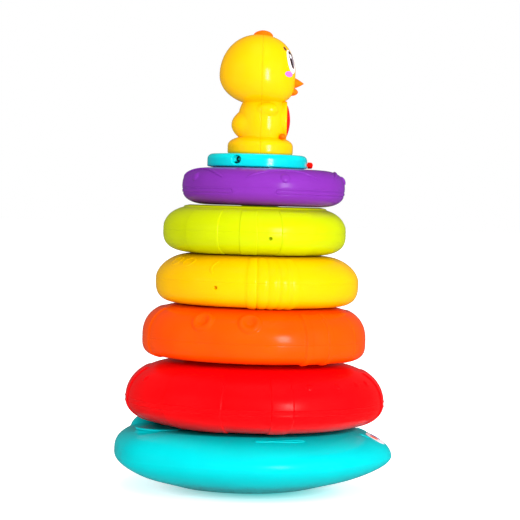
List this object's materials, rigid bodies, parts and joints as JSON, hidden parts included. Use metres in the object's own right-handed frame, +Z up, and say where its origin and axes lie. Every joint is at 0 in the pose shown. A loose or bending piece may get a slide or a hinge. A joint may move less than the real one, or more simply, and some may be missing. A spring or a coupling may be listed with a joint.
{
  "type": "stacking ring toy",
  "caption": "Weighted rocking base with a tapered post, hollow stacking rings in graded sizes and a duck topper with a push button and a slide switch.",
  "frame": {"origin": "on the post's axis at the lowest point of the base, which is the middle of the base's length and width", "axes": "+Z up along the post, +X the way the duck and the base's pointed front look"},
  "size_m": [0.206, 0.1974, 0.3408],
  "materials": {
    "turquoise_shell": "glossy",
    "weight_steel": "rough",
    "screw_steel": "satin",
    "red_plastic": "glossy",
    "orange_plastic": "glossy",
    "yellow_plastic": "glossy",
    "green_plastic": "glossy",
    "purple_plastic": "glossy",
    "disc_turquoise": "glossy",
    "inner_plastic": "matt",
    "cell_jacket": "glossy",
    "contact_steel": "satin",
    "duck_yellow": "glossy",
    "beak_orange": "glossy",
    "board_green": "matt",
    "inner_black": "matt",
    "dome_rubber": "matt",
    "led_clear": "clear",
    "speaker_frame": "satin",
    "button_red": "glossy",
    "knob_red": "glossy"
  },
  "bodies": {
    "base": {"base_bottom_shell": "turquoise_shell", "base_top_shell": "turquoise_shell", "counterweight": "weight_steel", "base_screws": "screw_steel", "counterweight_screws": "screw_steel", "post": "turquoise_shell", "post_screws": "screw_steel"},
    "red_ring": {"red_ring": "red_plastic"},
    "orange_ring": {"orange_ring": "orange_plastic"},
    "yellow_ring": {"yellow_ring": "yellow_plastic"},
    "green_ring": {"green_ring": "green_plastic"},
    "purple_ring": {"purple_ring": "purple_plastic"},
    "topper": {"topper_disc": "disc_turquoise", "disc_bottom_plate": "disc_turquoise", "disc_side_screws": "screw_steel", "battery_door": "disc_turquoise", "battery_door_screw": "screw_steel", "battery_box": "inner_plastic", "batteries": "cell_jacket", "battery_contacts": "contact_steel", "duck_back_shell": "duck_yellow", "duck_front_shell": "duck_yellow", "duck_screws": "screw_steel", "duck_tuft": "beak_orange", "upper_beak": "beak_orange", "lower_beak": "beak_orange", "duck_feet": "beak_orange", "circuit_board": "board_green", "tact_switch": "inner_black", "button_dome": "dome_rubber", "sound_chip": "inner_black", "led": "led_clear", "speaker": "speaker_frame", "power_switch": "contact_steel"},
    "belly_button": {"belly_button": "button_red"},
    "switch_knob": {"switch_knob": "knob_red"}
  },
  "joints": [
    {"name": "red_ring_lift", "type": "slide", "parent": "base", "child": "red_ring", "axis": [0, 0, 1], "range_m": [0, 0.215]},
    {"name": "orange_ring_lift", "type": "slide", "parent": "red_ring", "child": "orange_ring", "axis": [0, 0, 1], "range_m": [0, 0.165]},
    {"name": "yellow_ring_lift", "type": "slide", "parent": "orange_ring", "child": "yellow_ring", "axis": [0, 0, 1], "range_m": [0, 0.125]},
    {"name": "green_ring_lift", "type": "slide", "parent": "yellow_ring", "child": "green_ring", "axis": [0, 0, 1], "range_m": [0, 0.085]},
    {"name": "purple_ring_lift", "type": "slide", "parent": "green_ring", "child": "purple_ring", "axis": [0, 0, 1], "range_m": [0, 0.05]},
    {"name": "topper_lift", "type": "slide", "parent": "purple_ring", "child": "topper", "axis": [0, 0, 1], "range_m": [0, 0.02]},
    {"name": "belly_button_press", "type": "slide", "parent": "topper", "child": "belly_button", "axis": [-1, 0, 0], "range_m": [0, 0.0012], "stiffness_N_per_m": 900},
    {"name": "switch_knob_slide", "type": "slide", "parent": "topper", "child": "switch_knob", "axis": [0, 1, 0], "range_m": [0, 0.004]}
  ]
}
